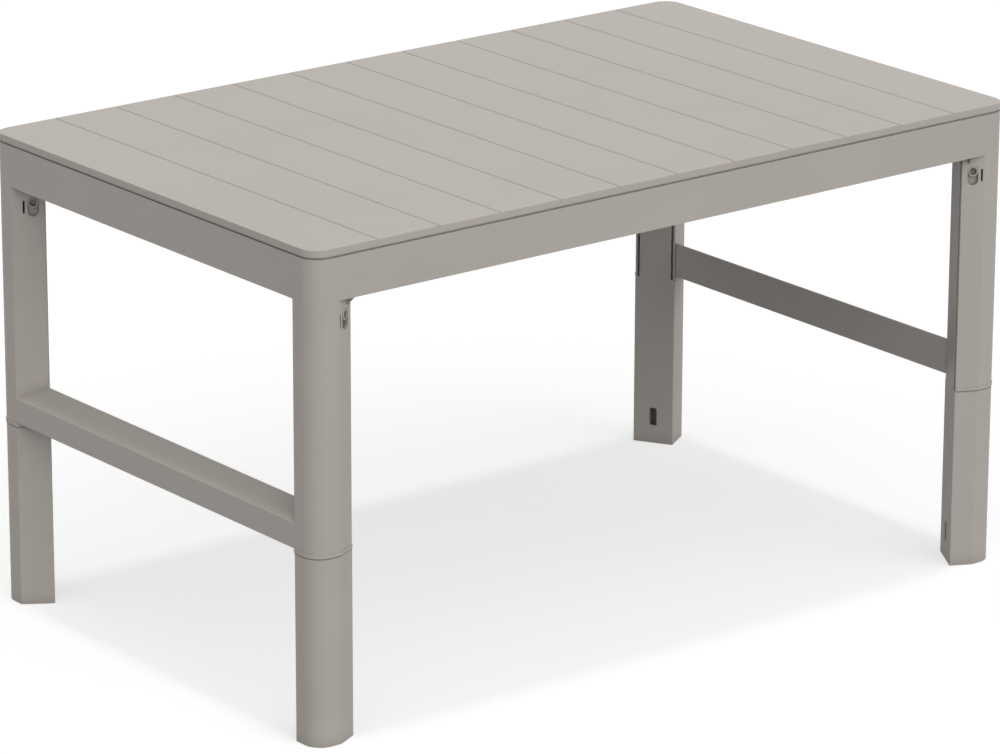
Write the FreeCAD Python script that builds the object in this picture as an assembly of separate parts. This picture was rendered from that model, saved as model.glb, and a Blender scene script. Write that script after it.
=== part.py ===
# Convertible garden table in moulded resin: a low table of four legs that is raised to dining
# height by four leg extensions. Each extension has a post that runs up inside its leg.
# Z is up, X runs along the table, and the origin is under the middle, on the floor.
import FreeCAD, Part
import math
import os

Vector = FreeCAD.Vector

# Whole table
table_length = 1160.0
table_width = 711.0
table_height = 652.0
low_height = 400.0
corner_radius = 25.5

# Small sizes shared by all the mouldings
edge_radius = 1.2
butt_edge_radius = 0.4
cut_overrun = 5.0
through_cut = 60.0
slip_gap = 0.2

# Top panel
panel_edge_height = 9.4
panel_skin = 4.0
panel_skirt = 3.0
panel_arris = 0.6
shadow_gap = 2.8
seat_ring_inset = 3.0
seat_ring_width = 5.0
plank_count = 12
outer_plank_width = 99.5
groove_width = 2.4
groove_depth = 2.4
lattice_inset = 32.0
lattice_depth = 24.0
lattice_rib = 2.4
lattice_cross_ribs = 8
lattice_leg_clearance = 3.0

# Rails under the panel
rail_drop = 68.3
rail_wall = 3.5
rail_top_flange = 26.0
rail_bottom_flange = 13.0
rail_end_plate = 3.5
rail_rib = 2.2
side_rail_ribs = 11
end_rail_ribs = 7
side_rail_screws = 4
rail_screw_inset = 19.5
rail_screw_end_margin = 130.0

# Section of a leg, measured from the table's outer corner. The crossbar side is the wall
# beside the table's end, and the long side is the wall beside the table's side.
end_face_width = 42.7
side_face_width = 39.7
end_wall_reach_x = 38.1
end_wall_reach_y = 67.1
side_wall_reach_x = 69.05
side_wall_reach_y = 14.5

# Upper leg
leg_wall = 3.8
collar_height = 4.8
collar_step = 0.9
head_plate_depth = 30.0
head_plate = 4.0
wall_end_setback = 0.8
wall_end_thickness = 1.6
wall_end_taper = 5.0
gusset_width = 10.5
gusset_height = 11.5
gusset_thickness = 1.8
gusset_edge_distance = 10.5

# Hooks that hang the rails in the legs
hook_place = 15.0
hook_neck = 3.4
hook_head_width = 10.0
hook_head = 2.6
hook_depth = 44.0
hook_top_drop = 3.0

# Crossbar between the two legs of an end
bar_lift = 5.0
bar_depth = 36.0
bar_outer_height = 34.5
bar_inner_height = 50.7
bar_wall = 3.5
bar_end_plate = 4.0
bar_rib = 2.4
bar_ribs = 8
bar_edge_radius = 1.5
bar_screw_place = 20.0
bar_screw_low = 13.0
bar_screw_high = 28.0
bar_boss_length = 14.0

# Leg extension
foot_wall = 4.0
foot_web = 2.6
foot_web_setback = 33.0
foot_web_lift = 8.0
foot_arris = 0.4
deck = 6.0
seam_groove_height = 1.4
seam_groove_depth = 1.6
post_gap = 0.4
post_side_face_gap = 2.9
post_end_face_gap = 2.2
post_rebate_depth = 6.0
post_wall = 3.0
post_top_drop = 74.0
foot_slot_width = 11.0
foot_slot_height = 26.5
foot_slot_middle = 40.2
foot_slot_radius = 1.5

# Latch: a window in each side wall of a leg, with a sprung push button in its upper part. The
# button runs in a bore through the post's wall and stops with its flange against a seat.
latch_drop = 90.0
latch_setback = 16.6
window_width = 15.0
window_spread = 11.7
air_slot_width = 2.7
air_slot_height = 18.0
air_slot_drop = 95.9
air_slot_distance = 12.4
button_radius = 7.2
button_bore_gap = 0.05
button_proud = 0.4
button_dish_radius = 5.1
button_dish_depth = 7.5
button_rim_round = 0.5
button_flange_radius = 9.0
button_flange = 1.6
button_spigot_radius = 3.2
button_spigot = 10.0
button_seat_depth = 10.0
button_seat_gap = 0.05
button_seat_radius = 10.0
moat_radius = 8.4
moat_depth = 1.8
rim_radius = 9.3
pocket_depth = 1.6
pocket_margin = 1.5

# Spring that pushes the two buttons of a leg apart
spring_mean_radius = 4.6
spring_wire_radius = 0.6
spring_turns = 8
spring_end_gap = 0.05

# Screws
screw_radius = 2.0
screw_head_radius = 3.8
screw_head = 2.4
screw_flat_head = 2.0
screw_hole_clearance = 0.2
screw_thread_gap = 0.05
screw_socket_radius = 1.4
screw_socket_depth = 1.4
boss_radius = 5.0
boss_end_cover = 1.5
leg_screw_length = 18.0
leg_screw_inner_setback = 15.0
leg_screw_outer_setback = 38.0
bar_screw_length = 15.0

# Sizes and levels that follow from the ones above
plank_pitch = (table_length - 2 * outer_plank_width) / (plank_count - 2)
split_level = table_height - low_height
seat_level = table_height - panel_edge_height - shadow_gap
skin_level = table_height - panel_skin
rail_level = table_height - rail_drop
head_plate_level = table_height - head_plate_depth
post_top_level = table_height - post_top_drop
bar_level = split_level + bar_lift
latch_level = table_height - latch_drop

half_length = table_length / 2
half_width = table_width / 2
outer_corner = Vector(-half_length, -half_width, 0)


def plan(x_from_corner, y_from_corner):
    """A point on the floor, measured from the front left corner of the table."""
    return outer_corner + Vector(x_from_corner, y_from_corner, 0)


# Corners of a leg's section, anticlockwise from the outer corner
side_wall_start = plan(side_face_width, 0)
side_wall_end = plan(side_wall_reach_x, side_wall_reach_y)
end_wall_end = plan(end_wall_reach_x, end_wall_reach_y)
end_wall_start = plan(0, end_face_width)
leg_outline = [outer_corner, side_wall_start, side_wall_end, end_wall_end, end_wall_start]

# The latch axis runs parallel to the leg's inner face, from wall to wall
latch_axis = (end_wall_end - side_wall_end).normalize()
leg_axis = Vector(latch_axis.y, -latch_axis.x, 0)
inner_face_middle = (end_wall_end + side_wall_end) / 2


def leg_point(setback, level):
    """A point on the leg's middle line, set back from its inner face."""
    point = inner_face_middle - leg_axis * setback
    return Vector(point.x, point.y, level)


def shift_outline(points, insets):
    """Moves each side of an outline inwards by its own inset and finds the new corners."""
    count = len(points)
    sides = []
    for index in range(count):
        start = points[index]
        direction = (points[(index + 1) % count] - start).normalize()
        inward = Vector(-direction.y, direction.x, 0)
        sides.append((start + inward * insets[index], direction))
    corners = []
    for index in range(count):
        before_point, before = sides[index - 1]
        after_point, after = sides[index]
        gap = after_point - before_point
        cross = before.x * after.y - before.y * after.x
        reach = (gap.x * after.y - gap.y * after.x) / cross
        corners.append(before_point + before * reach)
    return corners


def rounded_wire(points, radii):
    """A closed wire through the points, with an arc of the given radius at each corner."""
    count = len(points)
    corners = []
    for index in range(count):
        point = points[index]
        radius = radii[index]
        to_before = (points[index - 1] - point).normalize()
        to_after = (points[(index + 1) % count] - point).normalize()
        half_angle = to_before.getAngle(to_after) / 2
        trim = radius / math.tan(half_angle)
        middle_gap = radius / math.sin(half_angle) - radius
        bisector = (to_before + to_after).normalize()
        corners.append((point + to_before * trim, point + bisector * middle_gap, point + to_after * trim))
    edges = []
    for index in range(count):
        start, middle, end = corners[index]
        if radii[index] > 0:
            edges.append(Part.Arc(start, middle, end).toShape())
        next_start = corners[(index + 1) % count][0]
        edges.append(Part.makeLine(end, next_start))
    return Part.Wire(edges)


def prism(points, radii, low, high):
    """An upright prism on a rounded outline, between two levels."""
    wire = rounded_wire(points, radii)
    wire.translate(Vector(0, 0, low))
    return Part.Face(wire).extrude(Vector(0, 0, high - low))


def leg_prism(wall_inset, face_inset, low, high, butt_radius):
    """A prism on the leg's section, its four walls and its inner face each moved inwards. The butt
    radius rounds the two edges where rails and crossbars meet the leg."""
    insets = [wall_inset, wall_inset, face_inset, wall_inset, wall_inset]
    points = shift_outline(leg_outline, insets)
    radii = [corner_radius - wall_inset, butt_radius, edge_radius, edge_radius, butt_radius]
    return prism(points, radii, low, high)


def box(low_corner, high_corner):
    size = high_corner - low_corner
    return Part.makeBox(size.x, size.y, size.z, low_corner)


def turned_box(origin, along, across, along_span, across_span, level_span):
    """A box with upright sides, set along one flat direction and across another."""
    corners = [
        origin + along * along_span[0] + across * across_span[0],
        origin + along * along_span[1] + across * across_span[0],
        origin + along * along_span[1] + across * across_span[1],
        origin + along * along_span[0] + across * across_span[1],
    ]
    wire = Part.makePolygon(corners + corners[:1])
    wire.translate(Vector(0, 0, level_span[0] - origin.z))
    return Part.Face(wire).extrude(Vector(0, 0, level_span[1] - level_span[0]))


def obround(centre, across, normal, width, spread, start, end):
    """A round-ended upright slot, cut along its normal from start to end."""
    radius = width / 2
    base = centre + normal * start
    low = base - Vector(0, 0, spread)
    ends = [Part.makeCylinder(radius, end - start, place, normal) for place in (base, low)]
    sides = [low - across * radius, low + across * radius, base + across * radius, base - across * radius]
    middle = Part.Face(Part.makePolygon(sides + sides[:1])).extrude(normal * (end - start))
    return ends[0].fuse(ends[1]).fuse(middle)


def fuse_all(shapes):
    return shapes[0].multiFuse(shapes[1:]).removeSplitter()


def cut_all(shape, tools):
    return shape.cut(tools).removeSplitter()


def mirrored(shape, at_right, at_back):
    """Copies a piece of the front left corner to another corner."""
    result = shape
    if at_right:
        result = result.mirror(Vector(), Vector(1, 0, 0))
    if at_back:
        result = result.mirror(Vector(), Vector(0, 1, 0))
    return result


def all_corners(shape):
    return [mirrored(shape, right, back) for right in (False, True) for back in (False, True)]


def screw(tip_base, direction, length, head, flat):
    """A screw whose head stands at tip_base and whose shank runs along direction."""
    shank = Part.makeCylinder(screw_radius, length, tip_base, direction)
    if flat:
        top = Part.makeCone(screw_head_radius, screw_radius, head, tip_base, direction)
        socket_start = tip_base
    else:
        top = Part.makeCylinder(screw_head_radius, head, tip_base - direction * head, direction)
        socket_start = tip_base - direction * head
    socket = Part.makeCylinder(screw_socket_radius, screw_socket_depth, socket_start, direction)
    return shank.fuse(top).cut(socket).removeSplitter()


def save(name, shape):
    os.makedirs("parts", exist_ok=True)
    shape.exportStep("parts/" + name + ".step")


# Walls of the leg: where each starts, where it ends and which way is into the leg
class Wall:
    def __init__(self, start, end, turn):
        self.start = start
        self.along = (end - start).normalize()
        self.inward = Vector(-self.along.y * turn, self.along.x * turn, 0)
        self.length = (end - start).Length


side_wall = Wall(side_wall_start, side_wall_end, 1)
end_wall = Wall(end_wall_start, end_wall_end, -1)


# Top panel

def rounded_plate(inset, low, high):
    low_x = -half_length + inset
    low_y = -half_width + inset
    places = ((low_x, low_y), (-low_x, low_y), (-low_x, -low_y), (low_x, -low_y))
    points = [Vector(x, y, 0) for x, y in places]
    return prism(points, [corner_radius - inset] * len(points), low, high)


def groove_places():
    first = -plank_pitch * (plank_count / 2 - 1)
    return [first + index * plank_pitch for index in range(plank_count - 1)]


def plank_groove(x):
    start = -half_width - cut_overrun
    corners = [
        Vector(x - groove_width / 2, start, table_height),
        Vector(x, start, table_height - groove_depth),
        Vector(x + groove_width / 2, start, table_height),
    ]
    wire = Part.makePolygon(corners + corners[:1])
    return Part.Face(wire).extrude(Vector(0, table_width + 2 * cut_overrun, 0))


def panel_lattice():
    """Ribs under the skin, one below each groove and a few along the table."""
    reach_x = half_length - lattice_inset
    reach_y = half_width - lattice_inset
    low = table_height - lattice_depth
    half_rib = lattice_rib / 2
    ribs = []
    for x in groove_places() + [-reach_x, reach_x]:
        ribs.append(box(Vector(x - half_rib, -reach_y, low), Vector(x + half_rib, reach_y, skin_level)))
    for index in range(lattice_cross_ribs):
        y = -reach_y + 2 * reach_y * index / (lattice_cross_ribs - 1)
        ribs.append(box(Vector(-reach_x, y - half_rib, low), Vector(reach_x, y + half_rib, skin_level)))
    keep_out = leg_prism(
        -lattice_leg_clearance, -lattice_leg_clearance, low - cut_overrun, skin_level, butt_edge_radius
    )
    return cut_all(fuse_all(ribs), all_corners(keep_out))


def leg_screw_points():
    setbacks = (leg_screw_inner_setback, leg_screw_outer_setback)
    return [leg_point(setback, head_plate_level) for setback in setbacks]


def rail_screw_points():
    """Places of the rail screws, at the underside of the panel's bosses, all round the table."""
    points = []
    side_reach = half_length - rail_screw_end_margin
    for index in range(side_rail_screws):
        x = -side_reach + 2 * side_reach * index / (side_rail_screws - 1)
        for side in (-1, 1):
            points.append(Vector(x, side * (half_width - rail_screw_inset), seat_level))
    end_reach = half_width - rail_screw_end_margin
    for y in (-end_reach, end_reach):
        for side in (-1, 1):
            points.append(Vector(side * (half_length - rail_screw_inset), y, seat_level))
    return points


def boss(point):
    return Part.makeCylinder(boss_radius, skin_level - point.z, point)


def pilot_hole(point):
    depth = table_height - panel_skin + boss_end_cover - point.z
    return Part.makeCylinder(screw_radius + screw_thread_gap, depth, point)


def top_panel():
    blank = rounded_plate(0, table_height - panel_edge_height, table_height)
    top_edges = [edge for edge in blank.Edges if edge.BoundBox.ZMin > table_height - edge_radius / 2]
    body = blank.makeFillet(panel_arris, top_edges)
    body = body.cut(rounded_plate(panel_skirt, table_height - panel_edge_height - cut_overrun, skin_level))
    ring = rounded_plate(seat_ring_inset, seat_level, skin_level)
    ring = ring.cut(rounded_plate(seat_ring_inset + seat_ring_width, seat_level - cut_overrun, skin_level))
    bosses = [boss(point) for point in rail_screw_points()]
    pilots = [pilot_hole(point) for point in rail_screw_points()]
    for point in leg_screw_points():
        bosses += all_corners(boss(point))
        pilots += all_corners(pilot_hole(point))
    body = fuse_all([body, ring, panel_lattice()] + bosses)
    return cut_all(body, pilots + [plank_groove(x) for x in groove_places()])


# Rails

def beyond_wall(wall, offset, low, high):
    """Everything on the leg's side of one of its walls, moved away from the leg by an offset."""
    reach = table_width / 2
    return turned_box(wall.start, wall.along, wall.inward, (-reach, reach), (-offset, reach), (low, high))


def hook(wall, spread, low, high):
    """A neck through the leg's wall with a wider head behind it, grown all round by spread."""
    neck = turned_box(
        wall.start, wall.along, wall.inward,
        (hook_place - hook_neck / 2 - spread, hook_place + hook_neck / 2 + spread),
        (-rail_end_plate / 2 + spread, leg_wall + slip_gap + hook_head / 2),
        (low, high),
    )
    head = turned_box(
        wall.start, wall.along, wall.inward,
        (hook_place - hook_head_width / 2 - spread, hook_place + hook_head_width / 2 + spread),
        (leg_wall + slip_gap - spread, leg_wall + slip_gap + hook_head + spread),
        (low, high),
    )
    return neck.fuse(head)


def rail(wall, blank, hollow, opened, ribs, both_ends):
    """A C-shaped rail: a blank cut to the legs' walls, hollowed and hung on a hook at each end."""
    low = rail_level - cut_overrun
    high = seat_level + cut_overrun
    ends = both_ends(beyond_wall(wall, 0, low, high))
    plates = both_ends(beyond_wall(wall, rail_end_plate, low, high))
    inside = hollow.fuse(opened).cut(plates)
    body = cut_all(cut_all(blank, ends), [inside.cut(ribs)])
    hook_low = seat_level - hook_top_drop - hook_depth
    hooks = both_ends(hook(wall, 0, hook_low, seat_level - hook_top_drop))
    body = fuse_all([body] + hooks)
    hole_radius = screw_radius + screw_hole_clearance
    holes = []
    for point in rail_screw_points():
        start = point - Vector(0, 0, rail_wall + cut_overrun)
        holes.append(Part.makeCylinder(hole_radius, rail_wall + 2 * cut_overrun, start))
    return cut_all(body, holes)


def side_rail():
    """The front rail, along the table's length."""
    reach = half_length
    face = -half_width
    inner_low = rail_level + rail_wall
    inner_high = seat_level - rail_wall
    open_side = face + rail_top_flange + cut_overrun
    blank = box(Vector(-reach, face, rail_level), Vector(reach, face + rail_top_flange, seat_level))
    hollow = box(Vector(-reach, face + rail_wall, inner_low), Vector(reach, open_side, inner_high))
    flange_end = face + rail_bottom_flange
    opened = box(Vector(-reach, flange_end, rail_level - cut_overrun), Vector(reach, open_side, inner_low))
    half_rib = rail_rib / 2
    ribs = []
    for index in range(side_rail_ribs):
        x = -half_length + table_length * (index + 1) / (side_rail_ribs + 1)
        ribs.append(box(Vector(x - half_rib, face, inner_low), Vector(x + half_rib, flange_end, inner_high)))

    def both_ends(shape):
        return [shape, mirrored(shape, True, False)]

    return rail(side_wall, blank, hollow, opened, ribs, both_ends)


def end_rail():
    """The left rail, along the table's width."""
    reach = half_width
    face = -half_length
    inner_low = rail_level + rail_wall
    inner_high = seat_level - rail_wall
    open_side = face + rail_top_flange + cut_overrun
    blank = box(Vector(face, -reach, rail_level), Vector(face + rail_top_flange, reach, seat_level))
    hollow = box(Vector(face + rail_wall, -reach, inner_low), Vector(open_side, reach, inner_high))
    flange_end = face + rail_bottom_flange
    opened = box(Vector(flange_end, -reach, rail_level - cut_overrun), Vector(open_side, reach, inner_low))
    half_rib = rail_rib / 2
    ribs = []
    for index in range(end_rail_ribs):
        y = -half_width + table_width * (index + 1) / (end_rail_ribs + 1)
        ribs.append(box(Vector(face, y - half_rib, inner_low), Vector(flange_end, y + half_rib, inner_high)))

    def both_ends(shape):
        return [shape, mirrored(shape, False, True)]

    return rail(end_wall, blank, hollow, opened, ribs, both_ends)


# Crossbar

def bar_section(inset, open_bottom):
    """Section of the crossbar, with a top that rises inwards, as a wire across the table."""
    slope = (bar_inner_height - bar_outer_height) / bar_depth
    slope_inset = inset * math.sqrt(1 + slope * slope)
    low = bar_level - cut_overrun if open_bottom else bar_level
    near = -half_length + inset
    far = -half_length + bar_depth - inset
    near_top = bar_level + bar_outer_height + slope * inset - slope_inset
    far_top = bar_level + bar_inner_height - slope * inset - slope_inset
    y = -half_width
    points = [Vector(near, y, low), Vector(far, y, low), Vector(far, y, far_top), Vector(near, y, near_top)]
    radius = bar_edge_radius
    return rounded_wire(points, [radius] * len(points))


def bar_screw_axes():
    """Start of each crossbar screw on the channel side of the leg's wall."""
    axes = []
    for height in (bar_screw_low, bar_screw_high):
        start = end_wall.start + end_wall.along * bar_screw_place + end_wall.inward * leg_wall
        axes.append(Vector(start.x, start.y, bar_level + height))
    return axes


def crossbar():
    run = Vector(0, table_width, 0)
    low = bar_level - cut_overrun
    high = bar_level + bar_inner_height + cut_overrun
    blank = Part.Face(bar_section(0, False)).extrude(run)
    hollow = Part.Face(bar_section(bar_wall, True)).extrude(run)
    inner_side = -half_length + bar_depth
    half_rib = bar_rib / 2
    ribs = []
    for index in range(bar_ribs):
        y = -half_width + table_width * (index + 1) / (bar_ribs + 1)
        low_corner = Vector(-half_length, y - half_rib, bar_level)
        ribs.append(box(low_corner, Vector(inner_side, y + half_rib, high)))
    ends = []
    plates = []
    bosses = []
    pilots = []
    pilot_radius = screw_radius + screw_thread_gap
    for back in (False, True):
        ends.append(mirrored(beyond_wall(end_wall, 0, low, high), False, back))
        plates.append(mirrored(beyond_wall(end_wall, bar_end_plate, low, high), False, back))
        for start in bar_screw_axes():
            outward = end_wall.inward * -1
            root = start + outward * leg_wall
            grown = Part.makeCylinder(boss_radius, bar_boss_length, root, outward)
            pilot = Part.makeCylinder(pilot_radius, bar_boss_length - boss_end_cover, root, outward)
            bosses.append(mirrored(grown, False, back))
            pilots.append(mirrored(pilot, False, back))
    shell = cut_all(cut_all(blank, ends), [hollow.cut(plates + ribs)])
    return cut_all(fuse_all([shell] + bosses), pilots)


# Upper leg

def wall_span_on_latch_axis(setback):
    """Where the latch axis leaves the leg: distances from its middle line to each wall."""
    middle = leg_point(setback, 0)
    spans = []
    for wall, sense in ((end_wall, 1), (side_wall, -1)):
        direction = latch_axis * sense
        gap = wall.start - middle
        cross = direction.x * wall.along.y - direction.y * wall.along.x
        spans.append((gap.x * wall.along.y - gap.y * wall.along.x) / cross)
    return spans


def gusset(wall):
    """A small three-cornered rib under the rail, standing on the outside of a leg's wall."""
    middle = wall.start + wall.along * (wall.length - gusset_edge_distance)
    start = middle - wall.along * (gusset_thickness / 2) + wall.inward * (leg_wall / 2)
    outward = wall.inward * -(gusset_width + leg_wall / 2)
    corners = [
        Vector(start.x, start.y, rail_level),
        Vector(start.x, start.y, rail_level - gusset_height),
        Vector(start.x, start.y, rail_level - gusset_height) - wall.inward * (leg_wall / 2),
        Vector(start.x, start.y, rail_level) + outward,
    ]
    return Part.Face(Part.makePolygon(corners + corners[:1])).extrude(wall.along * gusset_thickness)


def wall_end_tapers():
    """What is cut from the insides of the two walls so that they thin down towards the inner face."""
    start = leg_wall
    thinned = wall_end_thickness
    shallow = shift_outline(leg_outline, [start, start, wall_end_taper, start, start])
    deep = shift_outline(leg_outline, [start, thinned, -cut_overrun, thinned, start])
    corners = [shallow[2], deep[2], deep[3], shallow[3]]
    wire = Part.makePolygon(corners + corners[:1])
    wire.translate(Vector(0, 0, split_level - cut_overrun))
    return Part.Face(wire).extrude(Vector(0, 0, head_plate_level - head_plate - split_level + cut_overrun))


def upper_leg():
    body = leg_prism(0, wall_end_setback, split_level, seat_level, butt_edge_radius)
    collar_insets = [-collar_step, -collar_step, wall_end_setback, -collar_step, -collar_step]
    collar_points = shift_outline(leg_outline, collar_insets)
    collar_corner = corner_radius + collar_step
    collar_radii = [collar_corner, butt_edge_radius, edge_radius, edge_radius, butt_edge_radius]
    collar = prism(collar_points, collar_radii, split_level, split_level + collar_height)
    body = fuse_all([body, collar, gusset(side_wall), gusset(end_wall)])
    plate_level = head_plate_level - head_plate
    below = leg_prism(leg_wall, -cut_overrun, split_level - cut_overrun, plate_level, edge_radius)
    above = leg_prism(leg_wall, -cut_overrun, head_plate_level, seat_level + cut_overrun, edge_radius)
    cuts = [below, above, wall_end_tapers()]
    hook_low = seat_level - hook_top_drop - hook_depth - slip_gap
    for wall in (side_wall, end_wall):
        cuts.append(hook(wall, slip_gap, hook_low, seat_level + cut_overrun))
    hole_radius = screw_radius + screw_hole_clearance
    for point in leg_screw_points():
        start = point - Vector(0, 0, head_plate + cut_overrun)
        cuts.append(Part.makeCylinder(hole_radius, head_plate + 2 * cut_overrun, start))
    reach = through_cut
    window_centre = leg_point(latch_setback, latch_level)
    cuts.append(obround(window_centre, leg_axis, latch_axis, window_width, window_spread, -reach, reach))
    cuts.append(air_slot(-reach, reach))
    for start in bar_screw_axes():
        outward = end_wall.inward * -1
        cuts.append(Part.makeCylinder(hole_radius, leg_wall + cut_overrun, start, outward))
        cuts.append(Part.makeCone(
            screw_head_radius + screw_hole_clearance, hole_radius, screw_flat_head, start, outward
        ))
    return cut_all(body, cuts)


def air_slot(start, end):
    """The narrow upright slot beside each window."""
    spread = air_slot_height - air_slot_width
    level = table_height - air_slot_drop + spread / 2
    centre = leg_point(latch_setback + air_slot_distance, level)
    return obround(centre, leg_axis, latch_axis, air_slot_width, spread, start, end)


# Leg extension

def foot():
    """The part below the leg: full section, hollow and open underneath."""
    blank = leg_prism(0, 0, 0, split_level, edge_radius)
    foot_edges = [edge for edge in blank.Edges if edge.BoundBox.ZMax < edge_radius / 2]
    blank = blank.makeChamfer(foot_arris, foot_edges)
    groove_low = split_level - seam_groove_height
    groove_high = split_level + cut_overrun
    around = leg_prism(-cut_overrun, -cut_overrun, groove_low, groove_high, edge_radius)
    core = leg_prism(seam_groove_depth, -2 * cut_overrun, groove_low, groove_high, edge_radius)
    blank = blank.cut(around.cut(core))
    hollow = leg_prism(foot_wall, foot_wall, -cut_overrun, split_level - deck, edge_radius)
    web = turned_box(
        leg_point(foot_web_setback, 0), latch_axis, leg_axis,
        (-through_cut, through_cut), (-foot_web / 2, foot_web / 2), (foot_web_lift, split_level),
    )
    return blank.cut(hollow.cut(web))


def post():
    """The part inside the leg: hollow and open at the top, with rebates beside the inner face."""
    side = leg_wall + post_side_face_gap
    end = leg_wall + post_end_face_gap
    wide = leg_wall + post_gap
    narrow_points = shift_outline(leg_outline, [wide, side, 0, end, wide])
    wide_points = shift_outline(leg_outline, [wide, wide, post_rebate_depth, wide, wide])
    radii = [corner_radius - wide] + [edge_radius / 2] * (len(leg_outline) - 1)
    low = split_level - deck / 2
    body = fuse_all([
        prism(narrow_points, radii, low, post_top_level), prism(wide_points, radii, low, post_top_level)
    ])
    inset = wide + post_wall
    narrow_hollow = shift_outline(leg_outline, [inset, side + post_wall, post_wall, end + post_wall, inset])
    wide_hollow = shift_outline(leg_outline, [inset, inset, post_rebate_depth + post_wall, inset, inset])
    hollow_radii = [corner_radius - inset] + [edge_radius / 2] * (len(leg_outline) - 1)
    hollow = fuse_all([
        prism(narrow_hollow, hollow_radii, split_level + deck / 2, post_top_level + cut_overrun),
        prism(wide_hollow, hollow_radii, split_level + deck / 2, post_top_level + cut_overrun),
    ])
    seats = [button_seat(sense) for sense in (1, -1)]
    body = cut_all(body, [hollow.cut(seats)])
    cuts = [air_slot(-through_cut, through_cut)]
    for sense in (1, -1):
        cuts += window_detail(sense)
    return cut_all(body, cuts)


def button_seat(sense):
    """A round pad on the inside of the post's wall, with a face square to the latch axis."""
    outward, surface = latch_frame(sense)
    centre = leg_point(latch_setback, latch_level)
    start = centre + outward * (surface - button_seat_depth)
    return Part.makeCylinder(button_seat_radius, button_seat_depth, start, outward)


def window_detail(sense):
    """Cuts in the post's wall behind a window: bore, moat round the button, and pocket below."""
    outward, surface = latch_frame(sense)
    centre = leg_point(latch_setback, latch_level)
    post_surface = surface - leg_wall - post_gap
    bore_length = button_seat_depth + cut_overrun
    bore_start = centre + outward * (surface - bore_length)
    bore = Part.makeCylinder(button_radius + button_bore_gap, bore_length, bore_start, outward)
    moat_start = centre + outward * (post_surface - moat_depth)
    moat = Part.makeCylinder(moat_radius, moat_depth + cut_overrun, moat_start, outward)
    width = window_width + 2 * pocket_margin
    pocket = obround(centre, leg_axis, outward, width, window_spread, post_surface - pocket_depth, surface)
    rim = Part.makeCylinder(rim_radius, surface, centre, outward)
    return [bore, moat, pocket.cut(rim)]


def foot_slot():
    """The upright slot near the floor, through the wall of the extension's inner face."""
    radius = foot_slot_radius
    half = foot_slot_width / 2
    low = foot_slot_middle - foot_slot_height / 2
    high = foot_slot_middle + foot_slot_height / 2
    points = []
    for across, level in ((-half, low), (half, low), (half, high), (-half, high)):
        points.append(leg_point(foot_wall + cut_overrun, level) + latch_axis * across)
    wire = rounded_wire(points, [radius] * len(points))
    return Part.Face(wire).extrude(leg_axis * (foot_wall + 2 * cut_overrun))


def leg_extension():
    return cut_all(fuse_all([foot(), post()]), [foot_slot()])


# Latch

def latch_frame(sense):
    """Direction out through one wall and the distance to its outer surface."""
    spans = wall_span_on_latch_axis(latch_setback)
    return latch_axis * sense, spans[0] if sense > 0 else spans[1]


def latch_button(sense):
    """Push button: a dished head in the bore, a flange behind it and a spigot for the spring."""
    outward, surface = latch_frame(sense)
    centre = leg_point(latch_setback, latch_level)
    front = surface + button_proud
    flange_front = surface - button_seat_depth - button_seat_gap
    flange_back = flange_front - button_flange
    head = Part.makeCylinder(button_radius, front - flange_front, centre + outward * flange_front, outward)
    rim_start = front - button_rim_round
    rims = [edge for edge in head.Edges if (edge.CenterOfMass - centre).dot(outward) > rim_start]
    head = head.makeFillet(button_rim_round, rims[:1])
    dish_start = centre + outward * (front - button_dish_depth)
    dish = Part.makeCylinder(button_dish_radius, button_dish_depth + cut_overrun, dish_start, outward)
    flange = Part.makeCylinder(button_flange_radius, button_flange, centre + outward * flange_back, outward)
    spigot_start = centre + outward * (flange_back - button_spigot)
    spigot = Part.makeCylinder(button_spigot_radius, button_spigot, spigot_start, outward)
    return cut_all(fuse_all([head, flange, spigot]), [dish])


def latch_spring():
    """A helical spring on the latch axis, between the flanges of the leg's two buttons."""
    backs = []
    for sense in (1, -1):
        surface = latch_frame(sense)[1]
        backs.append(surface - button_seat_depth - button_seat_gap - button_flange)
    end_inset = spring_wire_radius + spring_end_gap
    height = backs[0] + backs[1] - 2 * end_inset
    path = Part.makeHelix(height / spring_turns, height, spring_mean_radius)
    ring = Part.Wire(Part.makeCircle(spring_wire_radius, Vector(spring_mean_radius, 0, 0), Vector(0, 1, 0)))
    coil = Part.Wire(path).makePipeShell([ring], True, True)
    coil.Placement = FreeCAD.Placement(
        leg_point(latch_setback, latch_level) - latch_axis * (backs[1] - end_inset),
        FreeCAD.Rotation(Vector(0, 0, 1), latch_axis),
    )
    return coil


# Screws

def leg_screws():
    screws = []
    for point in leg_screw_points():
        base = point - Vector(0, 0, head_plate)
        screws += all_corners(screw(base, Vector(0, 0, 1), leg_screw_length, screw_head, False))
    return Part.makeCompound(screws)


def rail_screws():
    screws = []
    for point in rail_screw_points():
        base = point - Vector(0, 0, rail_wall)
        length = rail_wall + skin_level - seat_level
        screws.append(screw(base, Vector(0, 0, 1), length, screw_head, False))
    return Part.makeCompound(screws)


def crossbar_screws():
    screws = []
    for start in bar_screw_axes():
        one = screw(start, end_wall.inward * -1, bar_screw_length, screw_flat_head, True)
        screws += all_corners(one)
    return Part.makeCompound(screws)


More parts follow.
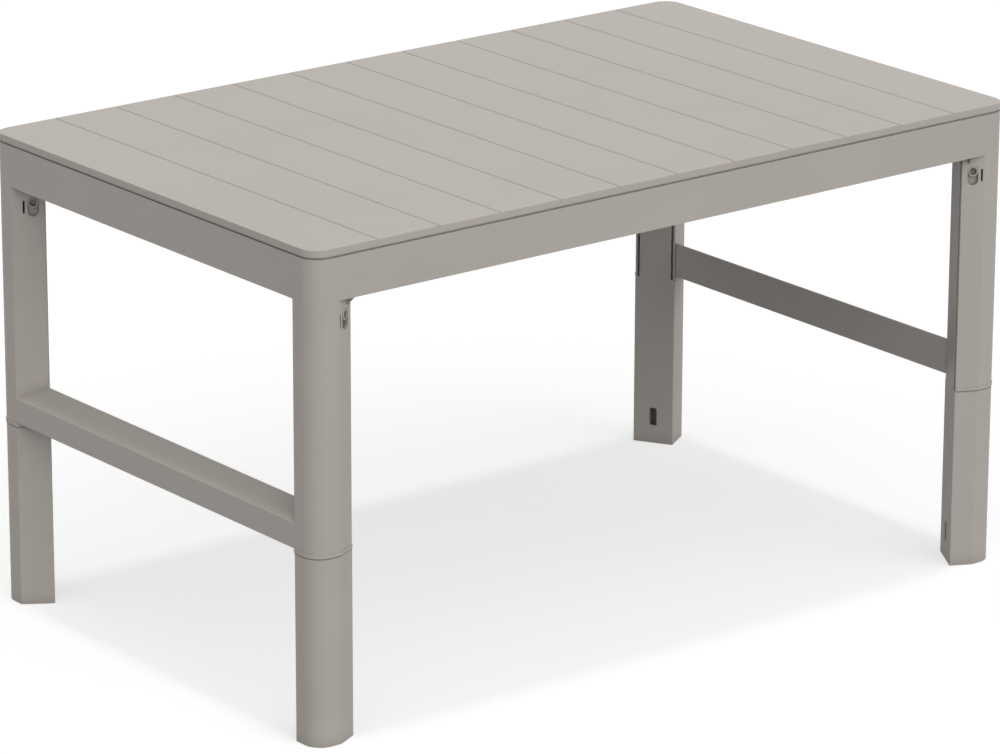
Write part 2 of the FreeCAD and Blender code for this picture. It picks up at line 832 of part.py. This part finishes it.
# Every node of the table
save("top_panel", top_panel())
front_rail = side_rail()
save("side_rail_front", front_rail)
save("side_rail_back", mirrored(front_rail, False, True))
left_rail = end_rail()
save("end_rail_left", left_rail)
save("end_rail_right", mirrored(left_rail, True, False))
left_bar = crossbar()
save("crossbar_left", left_bar)
save("crossbar_right", mirrored(left_bar, True, False))
corner_pieces = {
    "upper_leg": upper_leg(),
    "leg_extension": leg_extension(),
    "latch_spring": latch_spring(),
    "latch_button_end": latch_button(1),
    "latch_button_side": latch_button(-1),
}
corners = {
    "front_left": (False, False),
    "front_right": (True, False),
    "back_left": (False, True),
    "back_right": (True, True),
}
for corner, (right, back) in corners.items():
    for piece, shape in corner_pieces.items():
        save(piece + "_" + corner, mirrored(shape, right, back))
save("leg_screws", leg_screws())
save("rail_screws", rail_screws())
save("crossbar_screws", crossbar_screws())
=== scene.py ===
import bmesh
import bpy
import math
import numpy
from mathutils import Vector, Matrix


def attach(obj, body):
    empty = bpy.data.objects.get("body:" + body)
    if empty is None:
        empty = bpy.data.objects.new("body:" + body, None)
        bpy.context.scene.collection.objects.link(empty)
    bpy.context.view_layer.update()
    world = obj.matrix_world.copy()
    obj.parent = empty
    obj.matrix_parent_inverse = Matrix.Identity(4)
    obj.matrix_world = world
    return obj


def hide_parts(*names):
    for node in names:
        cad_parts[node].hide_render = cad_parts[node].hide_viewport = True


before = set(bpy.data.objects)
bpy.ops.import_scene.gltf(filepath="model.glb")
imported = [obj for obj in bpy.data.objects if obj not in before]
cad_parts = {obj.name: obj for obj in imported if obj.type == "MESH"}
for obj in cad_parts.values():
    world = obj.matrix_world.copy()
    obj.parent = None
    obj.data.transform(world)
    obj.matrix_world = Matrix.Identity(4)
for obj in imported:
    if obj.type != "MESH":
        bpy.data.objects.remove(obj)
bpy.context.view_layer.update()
scene = bpy.context.scene

# Table top. One large moulding of matt polypropylene, with shallow grooves that mark twelve planks and a
# thin edge over a shadow gap. It is screwed down onto the legs and rails from below.


def linear(hex_colour):
    """An sRGB hex colour as the linear colour that a shader socket takes."""
    parts = [int(hex_colour[i:i + 2], 16) / 255 for i in (1, 3, 5)]
    return [p / 12.92 if p <= 0.04045 else ((p + 0.055) / 1.055) ** 2.4 for p in parts] + [1.0]


def add(tree, kind, settings=None, inputs=None, links=None):
    """Adds a node with its settings, its input values and the sockets linked into it."""
    node = tree.nodes.new(kind)
    for name, value in (settings or {}).items():
        setattr(node, name, value)
    for name, value in (inputs or {}).items():
        node.inputs[name].default_value = value
    for name, socket in (links or {}).items():
        tree.links.new(socket, node.inputs[name])
    return node


def moulded_polypropylene(name, hex_colour, tone_mm, grain_mm, tone_shift, roughness):
    """Matt polypropylene from a textured steel mould, with slow drifts of tone where the resin flowed, an
    even fine grain that scatters the light, and painted shade that darkens the colour in grooves, joints and
    recesses.
    The real grain is finer than a render shows, so it is drawn coarser."""
    material = bpy.data.materials.new(name)
    material.use_nodes = True
    tree = material.node_tree
    shader = tree.nodes["Principled BSDF"]
    shader.inputs["IOR"].default_value = 1.49
    place = add(tree, "ShaderNodeTexCoord")
    drift = add(tree, "ShaderNodeTexNoise", None, {"Scale": 1000 / tone_mm, "Detail": 3.0, "Roughness": 0.5},
                {"Vector": place.outputs["Object"]})
    base = linear(hex_colour)
    ramp = add(tree, "ShaderNodeValToRGB", None, None, {"Fac": drift.outputs["Fac"]})
    darker, lighter = ramp.color_ramp.elements
    darker.position, lighter.position = 0.3, 0.7
    darker.color = [c * (1 - tone_shift) for c in base[:3]] + [1.0]
    lighter.color = [min(1.0, c * (1 + tone_shift)) for c in base[:3]] + [1.0]
    grain = add(tree, "ShaderNodeTexNoise", None, {"Scale": 1000 / grain_mm, "Detail": 2.0, "Roughness": 0.6},
                {"Vector": place.outputs["Object"]})
    spread = 0.05
    matt = add(tree, "ShaderNodeMapRange", None,
               {"From Min": 0.3, "From Max": 0.7, "To Min": roughness - spread, "To Max": roughness + spread},
               {"Value": grain.outputs["Fac"]})
    relief = add(tree, "ShaderNodeBump", None, {"Strength": 0.12, "Distance": 0.0003},
                 {"Height": grain.outputs["Fac"]})
    # Painted shade: ambient occlusion within 20 mm darkens the base colour down to 0.6 in grooves, joints and
    # recesses.
    recess = add(tree, "ShaderNodeAmbientOcclusion", {"samples": 8}, {"Distance": 0.02})
    painted_recess_shade = add(tree, "ShaderNodeMapRange", None, {"To Min": 0.6, "To Max": 1.0}, {"Value": recess.outputs["AO"]})
    shade_painted_colour = add(tree, "ShaderNodeVectorMath", {"operation": "SCALE"}, None,
                 {"Vector": ramp.outputs["Color"], "Scale": painted_recess_shade.outputs["Result"]})
    tree.links.new(shade_painted_colour.outputs["Vector"], shader.inputs["Base Color"])
    tree.links.new(matt.outputs["Result"], shader.inputs["Roughness"])
    tree.links.new(relief.outputs["Normal"], shader.inputs["Normal"])
    return material


def finish_node(name, material):
    """Gives a CAD node its material in place of the plain one that it came with."""
    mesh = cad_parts[name].data
    mesh.materials.clear()
    mesh.materials.append(material)


top_resin = moulded_polypropylene("polypropylene_panel", "#BBB4AD", tone_mm=180, grain_mm=1.6, tone_shift=0.02,
                                  roughness=0.5)
finish_node("top_panel", top_resin)

# Rails. Four C-shaped mouldings in the same resin, hung in the legs on hooks. Their plain outer faces stand
# flush with the legs.
rail_resin = moulded_polypropylene("polypropylene_rails", "#BBB4AD", tone_mm=140, grain_mm=1.6, tone_shift=0.02,
                                   roughness=0.5)
for node in ("side_rail_front", "side_rail_back", "end_rail_left", "end_rail_right"):
    finish_node(node, rail_resin)

# Rail screws. Zinc-plated pan-head screws with a cross recess, driven up through the rails' top flanges
# into bosses under the panel. One tree makes every screw of the table and puts it at marked points.


def node_input(tree, name, kind, default=None):
    """A named input of a Geometry Nodes tree."""
    socket = tree.interface.new_socket(name=name, in_out="INPUT", socket_type=kind)
    if default is not None:
        socket.default_value = default
    return socket


screw_tree = bpy.data.node_groups.new("cross_recess_screw", "GeometryNodeTree")
screw_tree.interface.new_socket(name="Geometry", in_out="OUTPUT", socket_type="NodeSocketGeometry")
node_input(screw_tree, "Geometry", "NodeSocketGeometry")
node_input(screw_tree, "Outer Head Radius", "NodeSocketFloat", 0.0028)
node_input(screw_tree, "Inner Head Radius", "NodeSocketFloat", 0.0038)
node_input(screw_tree, "Head Height", "NodeSocketFloat", 0.0024)
node_input(screw_tree, "Screw Length", "NodeSocketFloat", 0.014)
node_input(screw_tree, "Shank Radius", "NodeSocketFloat", 0.002)
node_input(screw_tree, "Thread Pitch", "NodeSocketFloat", 0.0014)
node_input(screw_tree, "Recess Width", "NodeSocketFloat", 0.0008)
node_input(screw_tree, "Material", "NodeSocketMaterial")
given = add(screw_tree, "NodeGroupInput").outputs


def combine(**parts):
    """A vector of the tree, with a socket for each part that isn't zero."""
    links = {axis.upper(): socket for axis, socket in parts.items()}
    return add(screw_tree, "ShaderNodeCombineXYZ", None, None, links).outputs[0]


def figure(operation, *terms):
    """A sum of the tree, whose terms are numbers or sockets."""
    node = add(screw_tree, "ShaderNodeMath", {"operation": operation})
    for index, term in enumerate(terms):
        if hasattr(term, "links"):
            screw_tree.links.new(term, node.inputs[index])
        else:
            node.inputs[index].default_value = term
    return node.outputs[0]


# The head stands on its outer face at the origin, and two crossed blades cut the recess into it.
recess_aspect, recess_depth_share = 4.6, 1.3
head = add(screw_tree, "GeometryNodeMeshCone", {"fill_type": "NGON"}, {"Vertices": 28},
           {"Radius Bottom": given["Outer Head Radius"], "Radius Top": given["Inner Head Radius"],
            "Depth": given["Head Height"]})
recess_long = figure("MULTIPLY", given["Recess Width"], recess_aspect)
recess_deep = figure("MULTIPLY", given["Head Height"], recess_depth_share)
blades = add(screw_tree, "GeometryNodeJoinGeometry")
for width, length in ((given["Recess Width"], recess_long), (recess_long, given["Recess Width"])):
    blade = add(screw_tree, "GeometryNodeMeshCube", None, None,
                {"Size": combine(x=width, y=length, z=recess_deep)})
    screw_tree.links.new(blade.outputs["Mesh"], blades.inputs[0])
driven = add(screw_tree, "GeometryNodeMeshBoolean", {"operation": "DIFFERENCE", "solver": "EXACT"}, None,
             {"Mesh 1": head.outputs["Mesh"], "Mesh 2": blades.outputs[0]})
driven.inputs["Self Intersection"].default_value = True
# The shank is a round core with a ridge wound round it. The ridge is shorter than the core and starts below
# the head, and its crest reaches the shank's radius.
core_share, ridge_centre_share, ridge_share = 0.8, 0.84, 0.15
thread_length_share, thread_start_share = 0.85, 0.12
shank_length = figure("SUBTRACT", given["Screw Length"], given["Head Height"])
core_middle = figure("ADD", given["Head Height"], figure("MULTIPLY", shank_length, 0.5))
core = add(screw_tree, "GeometryNodeMeshCylinder", {"fill_type": "NGON"}, {"Vertices": 20},
           {"Radius": figure("MULTIPLY", given["Shank Radius"], core_share), "Depth": shank_length})
core_place = add(screw_tree, "GeometryNodeTransform", None, None,
                 {"Geometry": core.outputs["Mesh"], "Translation": combine(z=core_middle)})
thread_length = figure("MULTIPLY", shank_length, thread_length_share)
thread_radius = figure("MULTIPLY", given["Shank Radius"], ridge_centre_share)
thread_start = figure("ADD", given["Head Height"], figure("MULTIPLY", shank_length, thread_start_share))
spiral = add(screw_tree, "GeometryNodeCurveSpiral", None, {"Resolution": 16},
             {"Rotations": figure("DIVIDE", thread_length, given["Thread Pitch"]), "Height": thread_length,
              "Start Radius": thread_radius, "End Radius": thread_radius})
ridge = add(screw_tree, "GeometryNodeCurvePrimitiveCircle", {"mode": "RADIUS"}, {"Resolution": 4},
            {"Radius": figure("MULTIPLY", given["Shank Radius"], ridge_share)})
thread = add(screw_tree, "GeometryNodeCurveToMesh", None, {"Fill Caps": True},
             {"Curve": spiral.outputs["Curve"], "Profile Curve": ridge.outputs["Curve"]})
thread_place = add(screw_tree, "GeometryNodeTransform", None, None,
                   {"Geometry": thread.outputs["Mesh"], "Translation": combine(z=thread_start)})
# The whole screw is put at every marked point and turned to that point's aim.
whole = add(screw_tree, "GeometryNodeJoinGeometry")
for part in (thread_place.outputs[0], core_place.outputs[0], driven.outputs["Mesh"]):
    screw_tree.links.new(part, whole.inputs[0])
aim = add(screw_tree, "GeometryNodeInputNamedAttribute", {"data_type": "FLOAT_VECTOR"}, {"Name": "aim"})
tilt = add(screw_tree, "FunctionNodeAlignRotationToVector", {"axis": "Z"}, None,
           {"Vector": aim.outputs["Attribute"]})
spread = add(screw_tree, "GeometryNodeInstanceOnPoints", None, None,
             {"Points": given["Geometry"], "Instance": whole.outputs[0], "Rotation": tilt.outputs[0]})
real = add(screw_tree, "GeometryNodeRealizeInstances", None, None, {"Geometry": spread.outputs[0]})
clad = add(screw_tree, "GeometryNodeSetMaterial", None, None,
           {"Geometry": real.outputs[0], "Material": given["Material"]})
add(screw_tree, "NodeGroupOutput", None, None, {"Geometry": clad.outputs[0]})


def zinc_plated_steel(name, streak_mm):
    """Bright zinc over cold-headed steel: a cool grey metal with fine turning marks and a soft gloss."""
    material = bpy.data.materials.new(name)
    material.use_nodes = True
    tree = material.node_tree
    shader = tree.nodes["Principled BSDF"]
    shader.inputs["Metallic"].default_value = 1.0
    place = add(tree, "ShaderNodeTexCoord")
    cloud = add(tree, "ShaderNodeTexNoise", None, {"Scale": 1000 / streak_mm, "Detail": 3.0},
                {"Vector": place.outputs["Object"]})
    tint = add(tree, "ShaderNodeValToRGB", None, None, {"Fac": cloud.outputs["Fac"]})
    duller, brighter = tint.color_ramp.elements
    duller.color, brighter.color = linear("#9FA2A4"), linear("#BCBFC1")
    gloss = add(tree, "ShaderNodeMapRange", None, {"To Min": 0.28, "To Max": 0.42},
                {"Value": cloud.outputs["Fac"]})
    tree.links.new(tint.outputs["Color"], shader.inputs["Base Color"])
    tree.links.new(gloss.outputs["Result"], shader.inputs["Roughness"])
    return material


zinc = zinc_plated_steel("zinc_plated_steel", 2.0)


def measured_screws(node):
    """The outer face's middle, the aim and the length of each separate screw of a CAD node. The head is the
    widest place across the screw's axis, so the aim leads away from it."""
    weld_distance = 1e-5
    shell = bmesh.new()
    shell.from_mesh(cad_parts[node].data)
    bmesh.ops.remove_doubles(shell, verts=shell.verts, dist=weld_distance)
    for vert in shell.verts:
        vert.tag = False
    found = []
    for first in shell.verts:
        if first.tag:
            continue
        first.tag = True
        group = [first]
        for vert in group:
            for other in (edge.other_vert(vert) for edge in vert.link_edges):
                if not other.tag:
                    other.tag = True
                    group.append(other)
        points = numpy.array([vert.co for vert in group])
        middle = points.mean(axis=0)
        aim = numpy.linalg.svd(points - middle)[2][0]
        along = (points - middle) @ aim
        across = numpy.linalg.norm(points - middle - numpy.outer(along, aim), axis=1)
        if along[across.argmax()] > 0:
            aim, along = -aim, -along
        found.append((middle + aim * along.min(), aim, float(along.max() - along.min())))
    shell.free()
    return found


def drive_screws(name, node, sizes):
    """Screws in place of those of a CAD node, each from its outer face along its aim. The screws of one
    node are all of one length."""
    found = measured_screws(node)
    points = bpy.data.meshes.new(name + "_points")
    points.from_pydata([place for place, aim, length in found], [], [])
    attribute = points.attributes.new("aim", "FLOAT_VECTOR", "POINT")
    attribute.data.foreach_set("vector", [part for place, aim, length in found for part in aim])
    marks = bpy.data.objects.new(name + "_marks", points)
    scene.collection.objects.link(marks)
    modifier = marks.modifiers.new("screws", "NODES")
    modifier.node_group = screw_tree
    first_place, first_aim, screw_length = found[0]
    given_sizes = {"Screw Length": screw_length, "Material": zinc, **sizes}
    for item in screw_tree.interface.items_tree:
        if item.in_out == "INPUT" and item.name in given_sizes:
            modifier[item.identifier] = given_sizes[item.name]
    marks.update_tag()
    result = bpy.data.meshes.new_from_object(marks.evaluated_get(bpy.context.evaluated_depsgraph_get()))
    result.materials.clear()
    result.materials.append(zinc)
    result.polygons.foreach_set("material_index", [0] * len(result.polygons))
    marks.modifiers.clear()
    bpy.data.objects.remove(marks)
    screws = bpy.data.objects.new(name, result)
    scene.collection.objects.link(screws)
    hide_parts(node)
    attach(screws, "table")


drive_screws("rail_cross_screws", "rail_screws", {})

# Upper legs. Four deep channels in the same resin, open towards the middle of the table. The walls stand
# flush with the rails, and each ends below in a collar that steps out over the leg extension. They are
# screwed to the panel and hold the rails' hooks.
leg_resin = moulded_polypropylene("polypropylene_legs", "#BBB4AD", tone_mm=110, grain_mm=1.4, tone_shift=0.02,
                                  roughness=0.5)
corners = ("front_left", "front_right", "back_left", "back_right")
for corner in corners:
    finish_node("upper_leg_" + corner, leg_resin)

# Leg screws. The same zinc-plated pan-head screws, longer ones, two in each leg. They go up through the
# leg's head plate into bosses under the panel.
drive_screws("leg_cross_screws", "leg_screws", {})

# Crossbars. One hollow moulding across each end of the table, in the rails' resin. Its sloped top face runs
# from the outside up to the inside, and its ends are screwed to the flats of the two legs.
for side in ("left", "right"):
    finish_node("crossbar_" + side, rail_resin)

# Crossbar screws. Zinc-plated countersunk screws, two at each end of a bar. They are driven from inside the
# leg, level, into the bosses of the bar's end plate.
drive_screws("bar_cross_screws", "crossbar_screws",
             {"Outer Head Radius": 0.0038, "Inner Head Radius": 0.002, "Head Height": 0.002})

# Leg extensions. Four mouldings in the legs' resin: a foot with the leg's own outline, and a narrower post
# that slides up inside the upper leg and is caught there by the latch.
for corner in corners:
    finish_node("leg_extension_" + corner, leg_resin)

# Latch buttons and springs. Two dished push buttons in each leg, moulded in resin, look out of windows in the
# leg's walls; their colour is painted one shade darker, as painted shade for those windows. A spring of
# zinc-plated wire between the two pushes them outwards.
button_resin = moulded_polypropylene("polypropylene_buttons", "#B4AFA8", tone_mm=30, grain_mm=1.0,
                                     tone_shift=0.02, roughness=0.5)
for corner in corners:
    for wall in ("end", "side"):
        finish_node("latch_button_" + wall + "_" + corner, button_resin)
    finish_node("latch_spring_" + corner, zinc)

# Studio floor. A wide sheet of pale paper under the table, which isn't part of it. The camera and the
# resin's gloss see the paper white, with the table's soft shadow on it. The light that it throws back
# up at the table is only dim.
floor_mesh = bpy.data.meshes.new("studio_floor")
reach, level = 30.0, -0.0005
floor_mesh.from_pydata([(-reach, -reach, level), (reach, -reach, level), (reach, reach, level),
                        (-reach, reach, level)], [], [(0, 1, 2, 3)])
floor = bpy.data.objects.new("studio_floor", floor_mesh)
scene.collection.objects.link(floor)
paper = bpy.data.materials.new("studio_paper")
paper.use_nodes = True
tree = paper.node_tree
tree.nodes.clear()
bounce_grey, seen_grey = 0.15, 0.5
dim = add(tree, "ShaderNodeBsdfDiffuse", None, {"Color": [bounce_grey] * 3 + [1.0]})
pale = add(tree, "ShaderNodeBsdfDiffuse", None, {"Color": [seen_grey] * 3 + [1.0]})
lift = add(tree, "ShaderNodeEmission", None, {"Color": (1.0, 1.0, 1.0, 1.0), "Strength": 0.62})
seen = add(tree, "ShaderNodeAddShader", None, None, {0: pale.outputs[0], 1: lift.outputs[0]})
ray = add(tree, "ShaderNodeLightPath")
plain = add(tree, "ShaderNodeMath", {"operation": "MAXIMUM"}, None,
            {0: ray.outputs["Is Camera Ray"], 1: ray.outputs["Is Glossy Ray"]})
choice = add(tree, "ShaderNodeMixShader", None, None,
             {0: plain.outputs[0], 1: dim.outputs[0], 2: seen.outputs[0]})
add(tree, "ShaderNodeOutputMaterial", None, None, {"Surface": choice.outputs[0]})
floor_mesh.materials.append(paper)

# Studio light. A soft dome that grows brighter in front and at the left, and a soft lamp straight above
# that draws the shadow. The camera and the resin's gloss see plain white beyond the floor.
world = bpy.data.worlds.new("studio_dome")
scene.world = world
world.use_nodes = True
tree = world.node_tree
tree.nodes.clear()


def soft_light(direction, towards, power, strength):
    """Light that grows towards one side of the dome, more narrowly with a higher power."""
    aim = Vector(towards).normalized()
    facing = add(tree, "ShaderNodeVectorMath", {"operation": "DOT_PRODUCT"}, {1: aim}, {0: direction})
    side = add(tree, "ShaderNodeMath", {"operation": "MAXIMUM"}, {1: 0.0}, {0: facing.outputs["Value"]})
    shaped = add(tree, "ShaderNodeMath", {"operation": "POWER"}, {1: power}, {0: side.outputs[0]})
    scaled = add(tree, "ShaderNodeMath", {"operation": "MULTIPLY"}, {1: strength}, {0: shaped.outputs[0]})
    return scaled.outputs[0]


direction = add(tree, "ShaderNodeTexCoord").outputs["Generated"]
glow = add(tree, "ShaderNodeValue").outputs[0]
glow.default_value = 0.03
front, front_above, left_above = ((0, -1, 0), 1.0, 1.2), ((0, -0.8, 0.6), 3.0, 0.64), ((-0.8, 0, 0.6), 3.0, 0.64)
back_above, right_above = ((0, 0.8, 0.6), 3.0, 0.12), ((0.8, 0, 0.6), 3.0, 0.06)
for towards, power, strength in (front, front_above, left_above, back_above, right_above):
    term = soft_light(direction, towards, power, strength)
    glow = add(tree, "ShaderNodeMath", {"operation": "ADD"}, None, {0: glow, 1: term}).outputs[0]
soft = add(tree, "ShaderNodeBackground", None, {"Color": (1.0, 1.0, 1.0, 1.0)}, {"Strength": glow})
white = add(tree, "ShaderNodeBackground", None, {"Color": (1.0, 1.0, 1.0, 1.0), "Strength": 1.0})
ray = add(tree, "ShaderNodeLightPath")
plain = add(tree, "ShaderNodeMath", {"operation": "MAXIMUM"}, None,
            {0: ray.outputs["Is Camera Ray"], 1: ray.outputs["Is Glossy Ray"]})
choice = add(tree, "ShaderNodeMixShader", None, None,
             {0: plain.outputs[0], 1: soft.outputs[0], 2: white.outputs[0]})
add(tree, "ShaderNodeOutputWorld", None, None, {"Surface": choice.outputs[0]})
overhead_data = bpy.data.lights.new("overhead", "SUN")
overhead_data.energy = 0.66
overhead_data.angle = math.radians(5)
overhead = bpy.data.objects.new("overhead", overhead_data)
scene.collection.objects.link(overhead)

# Camera. A long lens, 38 degrees round from the front and 18 degrees down. Its place and aim are those that the
# photo's vanishing points and the table's edges give.
focal_pixels, picture_width, sensor_mm = 5470.1, 1000, 36.0
camera_data = bpy.data.cameras.new("camera")
camera_data.sensor_width = sensor_mm
camera_data.lens = focal_pixels / picture_width * sensor_mm
camera_data.clip_end = 200.0
camera = bpy.data.objects.new("camera", camera_data)
scene.collection.objects.link(camera)
right = Vector((0.78539, -0.61899, 0.0029))
up = Vector((0.18914, 0.24444, 0.95104))
back = -Vector((0.58939, 0.74639, -0.30906))
turn = Matrix((right, up, back)).transposed()
place = Vector((-4.3556, -5.5061, 2.5682))
camera.matrix_world = Matrix.Translation(place) @ turn.to_4x4()
scene.camera = camera

scene.view_settings.view_transform = "Standard"
